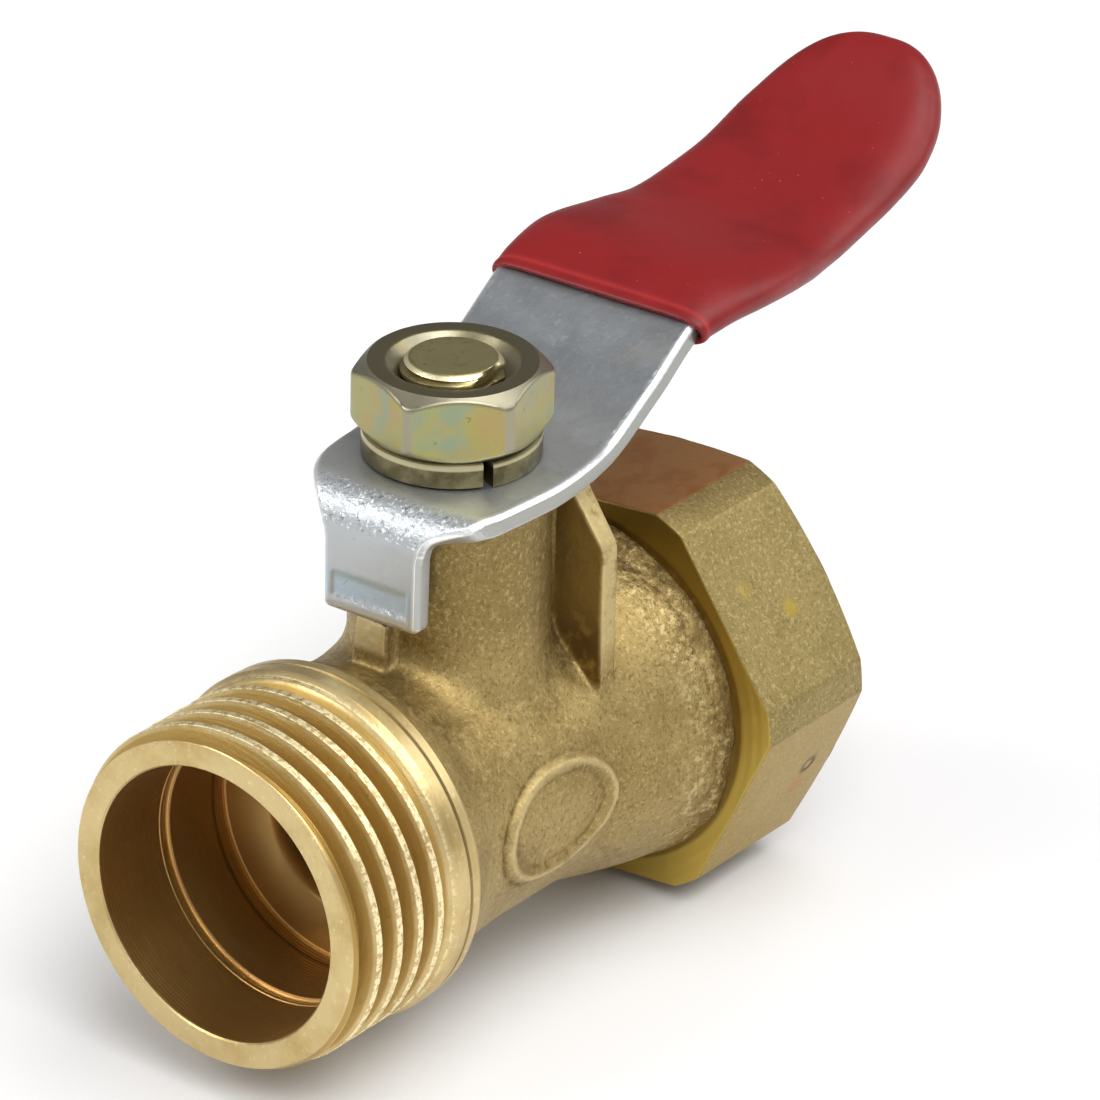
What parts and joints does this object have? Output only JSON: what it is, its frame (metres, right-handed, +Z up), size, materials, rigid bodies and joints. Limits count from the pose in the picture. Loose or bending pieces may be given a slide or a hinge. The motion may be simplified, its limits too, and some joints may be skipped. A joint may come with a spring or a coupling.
{
  "type": "ball valve",
  "caption": "Small brass quarter-turn ball valve with a male threaded end, a female hex end and a bent steel lever with a dipped grip.",
  "frame": {"origin": "centre of the ball, where the flow axis meets the stem axis", "axes": "+X along the flow axis towards the female hex end, +Z up the stem; the lever points to +X when the valve is open"},
  "size_m": [0.0669, 0.0266, 0.0432],
  "materials": {
    "cast_brass": "rough as-forged brass, machined on the thread and in the bore",
    "blasted_brass": "fine blasted brass with turned end faces",
    "chromed_ball": "polished chrome plate",
    "turned_brass": "dull turned brass",
    "ptfe": "smooth white PTFE",
    "o_ring_rubber": "smooth black nitrile rubber",
    "zinc_lever": "blue-white zinc on pressed steel",
    "red_vinyl": "satin dipped vinyl",
    "spring_steel": "dull zinc on spring steel",
    "yellow_zinc": "iridescent yellow zinc"
  },
  "bodies": {
    "housing": {"body": "cast_brass", "end_connector": "blasted_brass", "seat_inlet": "ptfe", "seat_outlet": "ptfe"},
    "handle": {"stem": "turned_brass", "stem_thrust_washer": "ptfe", "stem_o_ring_lower": "o_ring_rubber", "stem_o_ring_upper": "o_ring_rubber", "lever": "zinc_lever", "lever_grip": "red_vinyl", "spring_washer": "spring_steel", "lever_nut": "yellow_zinc"},
    "closing_ball": {"ball": "chromed_ball"}
  },
  "joints": [
    {"name": "lever_turn", "type": "hinge", "parent": "housing", "child": "handle", "pos_m": [0, 0, 0.0187], "axis": [0, 0, 1], "range_deg": [0, 90]},
    {"name": "ball_turn", "type": "hinge", "parent": "housing", "child": "closing_ball", "pos_m": [0, 0, 0], "axis": [0, 0, 1], "range_deg": [0, 90]}
  ],
  "couplings": [
    {"joint": "ball_turn", "follows": "lever_turn", "ratio": 1}
  ]
}
